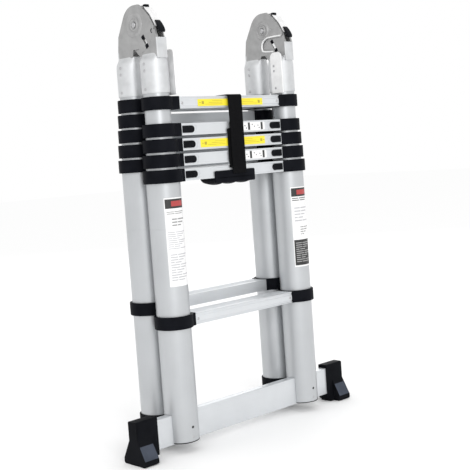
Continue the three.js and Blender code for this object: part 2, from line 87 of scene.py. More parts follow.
# Rungs: a face is (beyond the front, above the underside)
RUNG_HALF_DEPTH = 22
RUNG_HEIGHT = 24
RUNG_DROP = 25  # underside, below the collar's top
LIP = 1.5
LIPPED_FACE = [(1.5, 0), (1.5, 3), (0.9, 3.4), (0.9, 20.6), (1.5, 21), (1.5, 24)]
PADDED_FACE = [(1.5, 0), (1.5, 1.6), (0, 2.4), (0, 5.5), (1, 6), (1, 16.5), (0, 17)]
PADDED_FACE += [(0, 21.6), (1.5, 22.2), (1.5, 24)]
TREAD_HALF_WIDTH = 16
GROOVES = 6
GROOVE_DEPTH = 0.9
GROOVE_SLANT = 0.6
SCREW_HEIGHT = 11
SCREW_INSET = 7  # from the collar's block

# Buttons
BUTTON_DROP = 13  # middle of a button, below the collar's top
BUTTON_HEIGHT = 14
BUTTON_LENGTH = 31
BUTTON_THICK = 3
BUTTON_TRAVEL = 6
SQUARE_CORNER = 1.6
STEM_INSET = 3.4
STEM_LENGTH = 12
STEM_HALF = 4
PIN_RADIUS = 4
RIBS = 4
RIB_START = 8
RIB_PITCH = 4.2
RIB_HALF_WIDTH = 0.9
RIB_HALF_HEIGHT = 4.6
RIB_PROUD = 0.6
BEZEL_RIM = 1.3
BEZEL_CLEAR = 0.7
BEZEL_THICK = 0.9

# Base
BEAM_WALL = 2
BEAM_LINE_INSET = 5.5
BEAM_LINE_HALF = 0.7
BOOT_HALF_DEPTH = 12.5
BOOT_BOTTOM = 9
WEDGE_INNER_X = 270
WEDGE_TOP = 48
SOLE_INSET = 6
PLUG_DROP = 1.8
PLUG_WIDTH = 4
PLUG_HEIGHTS = {"hole_shade": 51, "screw": 31.5}

# Hinges: layers are distances from a hinge's middle plane, outlines are (y, z)
OUTER_LAYER = (9.9, 12.1)  # rear bracket
INNER_LAYER = (7.2, 9.4)  # front bracket
SWING_RADIUS = 60
SWING_FACETS = 160
REAR_SWING = (190, 283)  # part of the swing circle that the rear plate follows
DISC_RADIUS = 38.5
REAR_LEG = [(13, 786), (58, 786), (58.5, 805), (54, 837), (42, 857)]
NOSE = [(-56, 850), (-46, 866), (-31, 881), (-14, 892.4)]
FRONT_LEG = [(-13, 786), (-66, 786), (-66, 823), (-59.5, 845), *NOSE]
OUTBOARD_PANEL = [(-13, 786), (-66, 786), (-66, 823), (-61.5, 838), (-13, 838)]
INBOARD_PANEL = [(-13, 786), (-61, 786), (-60, 793), (-47, 802.5), (-13, 805)]
MOUTH = [(-66, 795), (-47, 804), (0, 808), (3, 812), (4, 820), (1, 829), (-7, 835), (-17, 838), (-66, 837)]
MOUTH_ROUNDS = 3
ARCH_TOPS = {"outboard": 806, "inboard": 799}
ARCH_HALF = [(24, 780), (24, 788), (13, 793)]
ARCH_TOP_HALF_WIDTH = 9
REAR_WEB = ((55.6, 786), (58.9, 806))
FRONT_WEB = ((-66.6, 783), (-63.6, 823))
WEB_OVERLAP = 0.4
PLATE_EDGE = 0.5  # rounding of pressed steel edges

# Lock slot: places along it are shares of its length from the top
SLOT = ((-23.5, 829.5), (-37.5, 806))
SLOT_WIDTH = 8
GUIDES = ((0.08, 6.5), (0.88, 8.5))  # place and length
GUIDE_WIDTH = 9
LOCK_BLOCKS = ((0.05, 6.5), (0.95, 6.5))
LOCK_BLOCK_WIDTH = 7.6
LOCK_BLOCK_START = 5
LOCK_BAR_REACH = 8.8
LOCK_BAR_LENGTH = 13
LOCK_BAR_WIDTH = 5.5

# Sockets: a stage is (share of the box shape, z), round at the bottom and a box at the top
SLEEVE_RADIUS = 27.8
SOCKET_STAGES = [(0, 716), (0, 770), (0.03, 775), (0.12, 779), (0.35, 783)]
SOCKET_STAGES += [(0.7, 787), (0.93, 791), (1, 794)]
SOCKET_HALF_DEPTH = 25
SOCKET_BORE = (715, 775)
SQUARENESS = 0.32
FIXINGS = ((-5, 773), (-5, 760), (-3, 724))  # angle from X, z
BRACE_LAYER = (26.4, 29)
BRACE = [(-20.5, 801), (-25.5, 799), (-28.5, 795), (-29.5, 789), (-29.5, 712)]  # y is from the tube's axis
BRACE += [(4, 712), (4, 793), (1, 798), (-4, 801)]
BRACE_RIVETS = ((-44, 772), (-44, 761), (-46, 724))

# Lock lever
LEVER_HALF_WIDTH = 9.4
LEVER_WALL = 2
LEVER_PIN = (-27, 864)
LEVER_PIN_RADIUS = 2.5
LEVER_FACE = [(-29.5, 886), (-34.2, 884), (-42, 876.5), (-49, 868.5), (-54.2, 861), (-58.8, 852.5)]
LEVER_FACE += [(-62.5, 844), (-60.6, 846), (-57, 852), (-47.4, 867.2), (-33, 881.8)]
LEVER_CHEEK = [(-33, 883.5), (-48.2, 868), (-58, 852.3), (-50, 848), (-28, 856), (-21, 863), (-24, 874)]
PAD_HALF_WIDTH = 6.6
LEVER_PAD = [(-57.8, 857), (-60.5, 855), (-65, 850), (-69.5, 843.5), (-72.3, 838), (-73, 834.5)]
LEVER_PAD += [(-71.5, 831.5), (-69, 832), (-65.5, 838), (-62, 845.5)]
STOP_HALF_WIDTH = 5
LEVER_STOP = ((-31, 883), (-23, 891))

# Turned heads: (radius, distance from the face they stand on)
SCREW_HEAD = [(2.9, 0), (2.9, 0.5), (2.2, 1.1), (1.2, 1.3), (0.9, 0.7), (0.2, 0.6)]
PLUG_HEAD = [(2.7, 0), (2.7, 0.7), (2, 1.2), (1, 1.4), (0.3, 1.4)]
FIXING_HEAD = [(3.1, -0.8), (3.1, 0.3), (2.4, 1.0), (1.2, 1.3), (0.6, 0.9), (0.2, 0.9)]
BRACE_HEAD = [(2.8, -0.3), (2.8, 0.3), (2.2, 0.9), (1.1, 1.2), (0.6, 0.9), (0.2, 0.9)]
PIVOT_HEAD = [(5.6, 0.3), (5.6, 1.6), (4.9, 2.6), (3.4, 3.1), (2.3, 2.3), (0.2, 2.2)]
DOT_HEAD = [(2.3, -0.2), (2.3, 0.3), (1.6, 0.9), (0.2, 1.1)]
DISH = [(26, -0.4), (24.5, 0.6), (23, 2.2), (21.2, 3), (19.4, 2.6), (17, 1.2), (15, 0.3)]
DISH += [(12.6, 0.1), (11.6, 2.1), (10.2, 2.9), (8.8, 2.3), (7.8, 0.4), (0.2, 0.4)]
INBOARD_DISH = 0.8  # the dish's scale on the rungs' side
DISH_FACETS = 80
RIVET_FACETS = 48
SCREW_FACETS = 32

# Carry strap and grip
STRAP_THICK = 2.4
STRAP_BEND = 4
STRAP_MIDDLES = (60, 640)  # points on its front run: above the strap's end, and a height
STRAP_BACK_END = 690
# A strip of webbing behind the strap, shifted left: the strap's edge, and painted shade for the gap between
# strap and rungs.
EDGE_SHADE_THICK = 1.6
EDGE_SHADE_SHIFT = 6
EDGE_SHADE_HEIGHTS = (560, 600, 641)
GRIP_ENDS = (-64, 51)
GRIP_BACK = -16
GRIP_FLOOR = 526
GRIP_FACE_TOP = 555
GRIP_THICK = 3
FINGERS = 3
FINGER_DEPTH = 3.4
GRIP_END_ROUND = 7

# Labels: rows of dashes are (top, bottom, pitch, first angle, ink)
LABEL_THICK = 0.15
PRINT_LAYER = (0.1, 0.22)
LABEL_ANGLES = (-133, -47)

# Camera, in metres, degrees and millimetres of lens
CAMERA_PLACE = (-1.4112, -1.5414, 0.5899)
CAMERA_YAW = 43.28  # from +Y towards +X
CAMERA_PITCH = -4.81
CAMERA_ROLL = -4.11
CAMERA_LENS = 74.86


def part_box(node):
    """Lowest and highest corner of a CAD node, in millimetres."""
    low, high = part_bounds(node)
    return Vector(low) / MM, Vector(high) / MM


def part_radius(node):
    """Radius of a round, upright CAD node."""
    low, high = part_box(node)
    return (high.x - low.x) / 2


STILE_X = sum(c.x for c in part_box("front_tube_1_right")) / 2
STILE_Y = sum(c.y for c in part_box("rear_tube_1_right")) / 2
PIVOT_Z = next(j for j in frame["joints"] if j["name"] == "main_hinge")["pos_m"][2] / MM


# Mesh helpers ----

def linked(name, data):
    """A new object in the scene."""
    made = bpy.data.objects.new(name, data)
    bpy.context.scene.collection.objects.link(made)
    return made


def new_object(name, mesh, look, body, smooth_angle=30):
    """Puts a mesh in the scene, shaded smooth, riding on its body."""
    mesh.transform(Matrix.Scale(MM, 4))
    mesh.validate()
    mesh.shade_smooth()
    mesh.set_sharp_from_angle(angle=math.radians(smooth_angle))
    piece = linked(name, mesh)
    mesh.materials.append(look)
    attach(piece, body)
    return piece


def rounded(piece, width, segments=3, angle=40):
    """Rounds the edges of a piece."""
    bevel = piece.modifiers.new("edges", "BEVEL")
    bevel.width = width * MM
    bevel.segments = segments
    bevel.limit_method = "ANGLE"
    bevel.angle_limit = math.radians(angle)
    return piece


def mesh_of(verts, faces):
    """A mesh with its faces turned outward."""
    mesh = bpy.data.meshes.new("piece")
    mesh.from_pydata(verts, [], faces)
    work = bmesh.new()
    work.from_mesh(mesh)
    bmesh.ops.recalc_face_normals(work, faces=work.faces)
    work.to_mesh(mesh)
    work.free()
    return mesh


def loft(rings, loop=False):
    """Skins rings of points that have the same count. loop joins the last ring to the first."""
    count = len(rings[0])
    verts = [p for ring in rings for p in ring]
    faces = []
    last = len(rings) if loop else len(rings) - 1
    for i in range(last):
        j = (i + 1) % len(rings)
        for k in range(count):
            m = (k + 1) % count
            faces.append((i * count + k, i * count + m, j * count + m, j * count + k))
    if not loop:
        faces.append(tuple(range(count)))
        faces.append(tuple((len(rings) - 1) * count + k for k in range(count)))
    return mesh_of(verts, faces)


def circle(radius, steps=ROUND):
    """Points on a circle round 0, 0."""
    angles = [2 * math.pi * k / steps for k in range(steps)]
    return [(radius * math.cos(angle), radius * math.sin(angle)) for angle in angles]


def arc(centre, radius, start, end, steps):
    """Points on an arc, angles in degrees."""
    points = []
    for i in range(steps + 1):
        angle = math.radians(start + (end - start) * i / steps)
        points.append((centre[0] + radius * math.cos(angle), centre[1] + radius * math.sin(angle)))
    return points


def at_x(outline, x):
    return [(x, y, z) for y, z in outline]


def at_y(outline, y):
    return [(x, y, z) for x, z in outline]


def at_z(outline, z):
    return [(x, y, z) for x, y in outline]


def prism_x(outline, *ends):
    """A (y, z) outline run along X."""
    return loft([at_x(outline, x) for x in sorted(ends)])


def prism_y(outline, *ends):
    """An (x, z) outline run along Y."""
    return loft([at_y(outline, y) for y in sorted(ends)])


def box_mesh(corner, opposite):
    """A box between two opposite corners."""
    x_ends, (y0, y1), (z0, z1) = (sorted(ends) for ends in zip(corner, opposite))
    return prism_x([(y0, z0), (y1, z0), (y1, z1), (y0, z1)], *x_ends)


def rod_x(start, end, y, z, radius, steps=32):
    return prism_x([(y + a, z + b) for a, b in circle(radius, steps)], start, end)


def rod_z(ends, x, y, radius):
    return loft([at_z([(x + a, y + b) for a, b in circle(radius)], z) for z in ends])


def turned(profile, x, y):
    """A solid turned about an upright axis: profile is a closed loop of (radius, z)."""
    rings = [at_z([(x + a, y + b) for a, b in circle(radius)], z) for radius, z in profile]
    return loft(rings, loop=True)


def new_head(name, profile, centre, axis, body, look, steps=24, smooth_angle=40):
    """A small steel piece turned about an axis from centre: profile is (radius, distance)."""
    turn = Vector((0, 0, 1)).rotation_difference(Vector(axis)).to_matrix()
    rings = []
    for radius, along in profile:
        ring = [tuple(turn @ Vector((a, b, along)) + Vector(centre)) for a, b in circle(radius, steps)]
        rings.append(ring)
    new_object(name, loft(rings), look, body, smooth_angle)


def merged(meshes):
    """Several meshes as one."""
    work = bmesh.new()
    for mesh in meshes:
        work.from_mesh(mesh)
        bpy.data.meshes.remove(mesh)
    whole = bpy.data.meshes.new("merged")
    work.to_mesh(whole)
    work.free()
    return whole


def cut(mesh, cutters, operation="DIFFERENCE"):
    """The mesh with the cutters taken away, or added."""
    body = linked("cut_body", mesh)
    tools = [linked("cut_tool", cutter) for cutter in cutters]
    for tool in tools:
        change = body.modifiers.new("cut", "BOOLEAN")
        change.operation = operation
        change.object = tool
        change.solver = "EXACT"
    made = bpy.data.meshes.new_from_object(body.evaluated_get(bpy.context.evaluated_depsgraph_get()))
    for each in [body, *tools]:
        bpy.data.objects.remove(each)
    made.materials.clear()
    return made


def mirrored(half_outline, middle=0):
    """A closed (y, z) outline from one half of it, given as (distance from the middle, z)."""
    return [(middle - d, z) for d, z in half_outline] + [(middle + d, z) for d, z in half_outline[::-1]]


def rounded_rectangle(low, high, corner, steps=5):
    """(a, b) outline of a rectangle with round corners."""
    points = []
    corners = [
        ((high[0] - corner, high[1] - corner), 0),
        ((low[0] + corner, high[1] - corner), 90),
        ((low[0] + corner, low[1] + corner), 180),
        ((high[0] - corner, low[1] + corner), 270),
    ]
    for centre, start in corners:
        points += arc(centre, corner, start, start + 90, steps)
    return points


def hull_outline(points):
    """The convex outline round (y, z) points."""
    return [points[i] for i in convex_hull_2d(points)]


def smooth_path(points):
    """Rounds the corners of an open path."""
    for _ in range(MOUTH_ROUNDS):
        softer = [points[0]]
        for a, b in zip(points, points[1:]):
            softer.append((0.75 * a[0] + 0.25 * b[0], 0.75 * a[1] + 0.25 * b[1]))
            softer.append((0.25 * a[0] + 0.75 * b[0], 0.25 * a[1] + 0.75 * b[1]))
        softer.append(points[-1])
        points = softer
    return points


def across_path(path, i):
    """Unit vector square to a (y, z) path at one of its points."""
    before, after = path[max(i - 1, 0)], path[min(i + 1, len(path) - 1)]
    run = Vector((after[0] - before[0], after[1] - before[1])).normalized()
    return Vector((-run.y, run.x))


def bead(path, x, radius):
    """A raised round bead along a (y, z) path, at one x."""
    rings = []
    for i, (y, z) in enumerate(path):
        across = across_path(path, i)
        rings.append([(x + b, y + across.x * a, z + across.y * a) for a, b in circle(radius, 10)])
    return loft(rings)


# Materials ----

def material(name, color, metallic, roughness, specular=0.5):
    made = bpy.data.materials.new(name)
    made.use_nodes = True
    shader = made.node_tree.nodes["Principled BSDF"]
    values = {"Base Color": (*color, 1), "Metallic": metallic, "Roughness": roughness}
    values["Specular IOR Level"] = specular
    for channel, value in values.items():
        shader.inputs[channel].default_value = value
    return made, shader


def noise(shader, scale, detail, stretch=(1, 1, 1)):
    """Noise in the object's own coordinates, stretched along an axis."""
    tree = shader.id_data
    place = tree.nodes.new("ShaderNodeTexCoord")
    mapping = tree.nodes.new("ShaderNodeMapping")
    mapping.inputs["Scale"].default_value = stretch
    texture = tree.nodes.new("ShaderNodeTexNoise")
    texture.inputs["Scale"].default_value = scale
    texture.inputs["Detail"].default_value = detail
    tree.links.new(place.outputs["Object"], mapping.inputs["Vector"])
    tree.links.new(mapping.outputs["Vector"], texture.inputs["Vector"])
    return texture.outputs["Fac"]


def drive(shader, channel, source, low, high):
    """Drives a shader's input between two greys or colours by the middle of a 0 to 1 source."""
    tree = shader.id_data
    made = tree.nodes.new("ShaderNodeValToRGB")
    for stop, position, value in zip(made.color_ramp.elements, (0.3, 0.7), (low, high)):
        stop.position = position
        stop.color = (*value, 1) if isinstance(value, tuple) else (value, value, value, 1)
    tree.links.new(source, made.inputs["Fac"])
    tree.links.new(made.outputs["Color"], shader.inputs[channel])


def bump(shader, source, strength, distance=0.0002):
    tree = shader.id_data
    made = tree.nodes.new("ShaderNodeBump")
    made.inputs["Strength"].default_value = strength
    made.inputs["Distance"].default_value = distance
    tree.links.new(source, made.inputs["Height"])
    tree.links.new(made.outputs["Normal"], shader.inputs["Normal"])


def darker(color):
    return tuple(c * 0.93 for c in color)


def drawn_aluminium(name, stretch, color):
    """Anodised extrusion: fine draw lines along its length and a slight mottle."""
    made, shader = material(name, color, metallic=0.6, roughness=0.4)
    lines = noise(shader, scale=1, detail=3, stretch=stretch)
    mottle = noise(shader, scale=14, detail=5)
    drive(shader, "Base Color", mottle, darker(color), color)
    drive(shader, "Roughness", lines, 0.34, 0.5)
    bump(shader, lines, strength=0.12)
    return made


def pressed_steel(name, dark, light):
    made, shader = material(name, light, metallic=0.65, roughness=0.5)
    mottle = noise(shader, scale=60, detail=6)
    drive(shader, "Base Color", mottle, dark, light)
    drive(shader, "Roughness", mottle, 0.46, 0.6)
    bump(shader, noise(shader, scale=240, detail=3), strength=0.15)
    return made


def moulded(name, color, roughness, grain):
    """Moulded plastic or rubber with a fine spark-eroded grain."""
    made, shader = material(name, color, metallic=0, roughness=roughness, specular=0.03)
    patches = noise(shader, scale=30, detail=4)
    lighter = tuple(min(1, c * 1.5 + 0.002) for c in color)
    drive(shader, "Base Color", patches, color, lighter)
    drive(shader, "Roughness", patches, roughness - 0.06, roughness + 0.08)
    bump(shader, noise(shader, scale=grain, detail=2), strength=0.25)
    return made


def webbing():
    """Woven strap: crossed threads, with a slight sheen."""
    made, shader = material("webbing", (0.005, 0.005, 0.006), 0, roughness=0.85, specular=0.08)
    tree = shader.id_data
    place = tree.nodes.new("ShaderNodeTexCoord")
    both = tree.nodes.new("ShaderNodeMath")
    both.operation = "MULTIPLY"
    for number, (direction, scale) in enumerate((("X", 330), ("Z", 210))):
        wave = tree.nodes.new("ShaderNodeTexWave")
        wave.bands_direction = direction
        wave.inputs["Scale"].default_value = scale
        wave.inputs["Distortion"].default_value = 0.4
        tree.links.new(place.outputs["Object"], wave.inputs["Vector"])
        tree.links.new(wave.outputs["Fac"], both.inputs[number])
    threads = both.outputs[0]
    drive(shader, "Base Color", threads, (0.002, 0.002, 0.0024), (0.010, 0.010, 0.012))
    bump(shader, threads, strength=0.6, distance=0.0006)
    return made


def printed(name, color):
    """Printed vinyl."""
    made, shader = material(name, color, metallic=0, roughness=0.45)
    faded = noise(shader, scale=40, detail=3)
    drive(shader, "Base Color", faded, darker(color), color)
    return made


TUBE = drawn_aluminium("aluminium_drawn_upright", (900, 900, 3), (0.53, 0.545, 0.56))
BAR = drawn_aluminium("aluminium_drawn_level", (3, 900, 900), (0.68, 0.70, 0.72))
STEEL = pressed_steel("pressed_steel", (0.56, 0.57, 0.58), (0.66, 0.67, 0.68))
PLATE = pressed_steel("pressed_plate", (0.33, 0.33, 0.33), (0.42, 0.42, 0.42))
# Painted highlight: pressed steel painted far lighter than the rest, for the brace that sits in shade, the
# mouth's rim, the lock bar and the lever face.
PAINTED_HIGHLIGHT_STEEL = pressed_steel("steel_painted_highlight", (0.80, 0.80, 0.80), (0.92, 0.92, 0.92))
BRIGHT = material("zinc_rivet", (0.50, 0.50, 0.51), metallic=1, roughness=0.32)[0]
# Black plastic; also painted as the shade in the notch on each outboard hinge plate.
BLACK = moulded("black_plastic_and_notch_shade", (0.0040, 0.0045, 0.0065), 0.45, 900)
# Black button plastic; also painted as the shade under each lever's tab.
THUMB_AND_TAB_SHADE = moulded("button_plastic_and_tab_shade", (0.006, 0.0065, 0.008), 0.3, 700)
RUBBER = moulded("black_rubber", (0.0045, 0.005, 0.0065), 0.55, 500)
WEDGE = moulded("wedge_face_rubber", (0.045, 0.052, 0.068), 0.5, 350)
WEBBING = webbing()
YELLOW = printed("label_yellow", (0.86, 0.72, 0.03))
YELLOW_INK = printed("label_yellow_ink", (0.45, 0.36, 0.03))
WHITE = printed("label_white", (0.86, 0.86, 0.86))
# Black print; also painted as the shade inside a hole on each front tube.
INK_AND_HOLE_SHADE = printed("label_ink_and_hole_shade", (0.02, 0.02, 0.02))
DARK = printed("label_dark_ink", (0.10, 0.10, 0.10))
FAINT = printed("label_faint_ink", (0.30, 0.30, 0.30))
LIGHT = printed("label_light_ink", (0.35, 0.35, 0.35))
PALE = printed("label_pale_ink", (0.52, 0.52, 0.54))
BADGE = printed("label_badge", (0.42, 0.05, 0.05))


# Stiles ----

def body_name(half, section):
    return f"{half}_section_{section}"


def rung_top(half, number):
    return part_box(f"{half}_rung_{number}")[1].z


def slide_travel(half, section):
    """How far a section slides out of the one outside it."""
    pair = {body_name(half, section), body_name(half, section - 1)}
    joint = next(j for j in frame["joints"] if {j["parent"], j["child"]} == pair)
    return joint["range_m"][1] / MM


def make_tube(half, section, side):
    """One tube of a stile, with its pin holes and the opening for the beam."""
    node = f"{half}_tube_{section}_{side}"
    low, high = part_box(node)
    x, y = (low.x + high.x) / 2, (low.y + high.y) / 2
    radius = part_radius(node)
    inside = radius - TUBE_WALL
    profile = [
        (inside, low.z),
        (radius - TUBE_CHAMFER, low.z),
        (radius, low.z + TUBE_CHAMFER),
        (radius, high.z - TUBE_CHAMFER),
        (radius - TUBE_CHAMFER, high.z),
        (inside, high.z),
    ]
    holes = []
    if section < SECTIONS:
        holes.append(rung_top(half, section) - BUTTON_DROP)
    if section > 1:
        holes.append(rung_top(half, section - 1) - BUTTON_DROP - slide_travel(half, section))
    reach = x - SIDES[side] * (radius + 1)
    cutters = [rod_x(x, reach, y, height, PIN_HOLE_RADIUS) for height in holes]
    if section == 1 and half == "front":
        cutters.append(beam_opening(x, radius, GAP))
    mesh = cut(turned(profile, x, y), cutters)
    piece = new_object(f"{node}_drawn", mesh, TUBE, body_name(half, section))
    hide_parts(node)


def beam_opening(x, radius, above):
    """Where the beam passes through a front tube, open at the bottom."""
    low, high = part_box("stabiliser_beam")
    return box_mesh((x - radius - 1, low.y - GAP, 0), (x + radius + 1, high.y + GAP, high.z + above))


def make_tube_bead(half, side, angles):
    """A shallow rolled bead that runs round a tube, but not under its label."""
    radius = part_radius("front_tube_1_left")
    heights = (TUBE_BEAD - BEAD_HALF_HEIGHT, TUBE_BEAD + BEAD_HALF_HEIGHT)
    x, y = SIDES[side] * STILE_X, HALVES[half] * STILE_Y
    ring = curved_patch(x, y, radius - 0.2, angles, heights, 0.55)
    rounded(new_object(f"{half}_tube_bead_{side}", ring, TUBE, body_name(half, 1)), 0.3)


# Rungs ----

def collar_ring(x, y, side, out, radius):
    """Plan outline of a collar: a ring with a block towards the rung, flat towards the other half."""
    corner = math.degrees(math.atan2(BLOCK_HALF_DEPTH, BLOCK_END))
    angles = sorted({*(360 * k / ROUND for k in range(ROUND)), corner, 360 - corner})
    points = []
    for degrees in angles:
        across, along = math.cos(math.radians(degrees)), math.sin(math.radians(degrees))
        reach = radius
        if across > 0:
            block = min(BLOCK_END / across, BLOCK_HALF_DEPTH / max(abs(along), 1e-6))
            reach = max(reach, block)
        if -along * reach > COLLAR_FACE:
            reach = COLLAR_FACE / -along
        points.append((x - SIDES[side] * across * reach, y + out * along * reach))
    return points


def circle_inside(outline, x, y, radius):
    """Points on a circle at the same angles as an outline round it."""
    points = []
    for px, py in outline:
        angle = math.atan2(py - y, px - x)
        points.append((x + radius * math.cos(angle), y + radius * math.sin(angle)))
    return points


def make_collar(half, number, side, top, capped):
    """A rung's collar round its tube. A capped one closes over the tube's edge."""
    section = max(number, 1)
    x, y = SIDES[side] * STILE_X, HALVES[half] * STILE_Y
    tube = part_radius(f"{half}_tube_{section}_{side}")
    outer = collar_ring(x, y, side, HALVES[half], tube + COLLAR_PROUD)
    inner = circle_inside(outer, x, y, tube + GAP)
    lip = circle_inside(outer, x, y, tube - COLLAR_OVERLAP + GAP) if capped else inner
    bottom, shelf = top - COLLAR_HEIGHT, top - COLLAR_CAP
    rings = [at_z(inner, bottom), at_z(outer, bottom), at_z(outer, top), at_z(lip, top)]
    if capped:
        rings += [at_z(lip, shelf), at_z(inner, shelf)]
    name = f"{half}_rung_{number}_collar_{side}"
    piece = new_object(name, loft(rings, loop=True), BLACK, body_name(half, section), 40)
    rounded(piece, 1.1, angle=50)


def rung_profile(out, y, bottom, face):
    """(y, z) outline of the extrusion: its face, and tread grooves on top."""
    outline = [(-RUNG_HALF_DEPTH, 0)] + [(RUNG_HALF_DEPTH + d, z) for d, z in face]
    pitch = 2 * TREAD_HALF_WIDTH / GROOVES
    groove = RUNG_HEIGHT - GROOVE_DEPTH
    for i in range(GROOVES):
        start = TREAD_HALF_WIDTH - i * pitch
        end = start - pitch / 2
        outline += [(start, RUNG_HEIGHT), (start - GROOVE_SLANT, groove), (end, groove)]
        outline.append((end - GROOVE_SLANT, RUNG_HEIGHT))
    outline.append((-RUNG_HALF_DEPTH, RUNG_HEIGHT))
    return [(y + out * d, bottom + z) for d, z in outline]


def make_rung(half, number):
    """A rung's bar and collars. The outer section has rungs 0 and 1, and 0 is fixed like the top one."""
    out = HALVES[half]
    name = f"{half}_rung_{number}"
    body = body_name(half, max(number, 1))
    fixed = number in (0, SECTIONS)
    top = rung_top(half, number)
    reach = STILE_X - BLOCK_END + 0.5
    profile = rung_profile(out, out * STILE_Y, top - RUNG_DROP, PADDED_FACE if fixed else LIPPED_FACE)
    bar = new_object(f"{name}_bar", prism_x(profile, -reach, reach), BAR, body, 20)
    rounded(bar, 0.35, 2)
    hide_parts(name)
    for side in SIDES:
        make_collar(half, number, side, top, not fixed)
        if fixed:
            make_rung_screw(name, side, out, top - RUNG_DROP + SCREW_HEIGHT, body)
        else:
            make_bezel(half, number, side, top - BUTTON_DROP)


def make_rung_screw(name, side, out, z, body):
    x = SIDES[side] * (STILE_X - BLOCK_END - SCREW_INSET)
    place = (x, out * (STILE_Y + RUNG_HALF_DEPTH + 0.8), z)
    new_head(f"{name}_screw_{side}", SCREW_HEAD, place, (0, out, 0), body, BRIGHT, SCREW_FACETS)


def d_outline(outer, inner, z, half_height, sign):
    """(x, z) outline that is square towards the stile and round towards the middle."""
    points = arc((inner + sign * half_height, z), half_height, 90, 90 + sign * 180, 16)
    cut_back = SQUARE_CORNER * 0.3
    corner = [(SQUARE_CORNER, 0), (cut_back, cut_back), (0, SQUARE_CORNER)]
    points += [(outer - sign * a, z - half_height + b) for a, b in corner]
    points += [(outer - sign * a, z + half_height - b) for a, b in corner[::-1]]
    return points


def button_ends(half, section, side):
    """Outer and inner x of a button's cap, and the x of its pin's tip."""
    low, high = part_box(f"{half}_button_{section}_{side}")
    inner, tip = (low.x, high.x) if SIDES[side] > 0 else (high.x, low.x)
    return inner + SIDES[side] * BUTTON_LENGTH, inner, tip


def make_bezel(half, section, side, z):
    """A raised aluminium frame round the thumb button."""
    sign, out = SIDES[side], HALVES[half]
    button_outer, button_inner, _ = button_ends(half, section, side)
    half_height = BUTTON_HEIGHT / 2 + BEZEL_CLEAR
    outer = button_outer + sign * BEZEL_CLEAR
    inner = button_inner - sign * (BUTTON_TRAVEL + BEZEL_CLEAR)
    face = out * (STILE_Y + RUNG_HALF_DEPTH + LIP - 0.7)
    proud = face + out * BEZEL_THICK
    rim = sign * BEZEL_RIM
    outside = d_outline(outer + rim, inner - rim, z, half_height + BEZEL_RIM, sign)
    inside = d_outline(outer, inner, z, half_height, sign)
    rings = [at_y(inside, face), at_y(outside, face), at_y(outside, proud), at_y(inside, proud)]
    name = f"{half}_rung_{section}_bezel_{side}"
    rounded(new_object(name, loft(rings, loop=True), BAR, body_name(half, section)), 0.25, 2)


def make_button(half, section, side):
    """A ribbed thumb button on a stem, with its lock pin."""
    node = f"{half}_button_{section}_{side}"
    sign, out = SIDES[side], HALVES[half]
    low, high = part_box(node)
    outer, inner, pin_tip = button_ends(half, section, side)
    z = (low.z + high.z) / 2
    tip = low.y if out < 0 else high.y
    face = tip - out * BUTTON_THICK
    axis = out * STILE_Y
    outline = d_outline(outer, inner, z, (high.z - low.z) / 2, sign)
    parts = [prism_y(outline, face, tip - out * RIB_PROUD)]
    stem_end = outer - sign * (STEM_INSET + STEM_LENGTH)
    stem_root = (outer - sign * STEM_INSET, axis - out * STEM_HALF, z - STEM_HALF)
    parts.append(box_mesh(stem_root, (stem_end, face + out * 0.2, z + STEM_HALF)))
    for i in range(RIBS):
        middle = outer - sign * (RIB_START + RIB_PITCH * i)
        rib_root = (middle - RIB_HALF_WIDTH, tip - out * 0.8, z - RIB_HALF_HEIGHT)
        parts.append(box_mesh(rib_root, (middle + RIB_HALF_WIDTH, tip, z + RIB_HALF_HEIGHT)))
    piece = new_object(f"{node}_thumb", merged(parts), THUMB_AND_TAB_SHADE, node)
    rounded(piece, 0.5)
    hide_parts(node)
    pin = rod_x(pin_tip, outer - sign * 4, axis, z, PIN_RADIUS)
    rounded(new_object(f"{node}_pin", pin, BRIGHT, node), 0.6)


# Base ----

def make_beam():
    """The hollow beam, with two raised lines along its face."""
    low, high = part_box("stabiliser_beam")
    wall = BEAM_WALL
    outside = rounded_rectangle((low.y, low.z), (high.y, high.z), 2.2)
    inside = rounded_rectangle((low.y + wall, low.z + wall), (high.y - wall, high.z - wall), 0.8)
    rings = [at_x(inside, low.x), at_x(outside, low.x), at_x(outside, high.x), at_x(inside, high.x)]
    body = body_name("front", 1)
    piece = new_object("stabiliser_beam_bar", loft(rings, loop=True), BAR, body)
    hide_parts("stabiliser_beam")
    for z in (low.z + BEAM_LINE_INSET, high.z - BEAM_LINE_INSET):
        ends = (low.x, low.y - 0.35, z - BEAM_LINE_HALF), (high.x, low.y + 0.2, z + BEAM_LINE_HALF)
        rounded(new_object(f"beam_line_{int(z)}", box_mesh(*ends), BAR, body), 0.3, 2)


